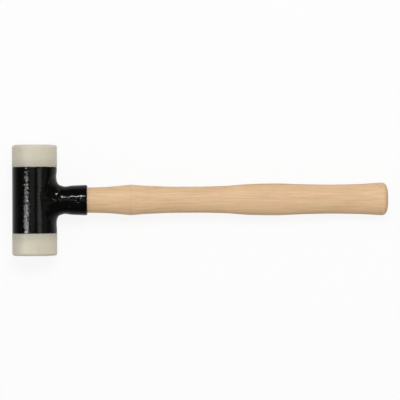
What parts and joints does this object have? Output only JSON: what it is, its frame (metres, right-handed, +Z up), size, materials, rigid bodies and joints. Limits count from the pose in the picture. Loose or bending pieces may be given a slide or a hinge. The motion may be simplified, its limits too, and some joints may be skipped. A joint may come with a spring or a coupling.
{
  "type": "soft face hammer",
  "caption": "Recoil-damping soft face hammer: black steel tube head charged with shot, pull-out nylon faces and a flared socket pinned to an oval ash handle.",
  "frame": {"origin": "on the ground under the middle of the hammer as it lies on its side", "axes": "+X along the handle from the head to the butt, +Y along the striking axis to the back face (the upper one in the picture), +Z up from the ground towards the picture's camera"},
  "size_m": [0.2936, 0.0862, 0.035],
  "materials": {
    "black_lacquer": "glossy black lacquer with a fine pebbled skin",
    "nylon": "satin natural nylon, slightly translucent",
    "bare_steel": "bare cold-rolled steel",
    "shot_steel": "dull cast steel shot",
    "pin_steel": "spring steel lacquered over with the head",
    "ash_wood": "sanded pale ash with a thin clear finish"
  },
  "bodies": {
    "hammer": {"head_tube": "black_lacquer", "handle_socket": "black_lacquer", "socket_weld": "black_lacquer", "back_disc": "bare_steel", "front_disc": "bare_steel", "handle_pin": "pin_steel", "handle": "ash_wood"},
    "back_face": {"back_face": "nylon"},
    "front_face": {"front_face": "nylon"},
    "shot_charge": {"steel_shot": "shot_steel"}
  },
  "joints": [
    {"name": "back_face_pull", "type": "slide", "parent": "hammer", "child": "back_face", "axis": [0, 1, 0], "range_m": [0, 0.012]},
    {"name": "front_face_pull", "type": "slide", "parent": "hammer", "child": "front_face", "axis": [0, -1, 0], "range_m": [0, 0.012]},
    {"name": "shot_slide", "type": "slide", "parent": "hammer", "child": "shot_charge", "axis": [0, 1, 0], "range_m": [0, 0.0064]}
  ]
}
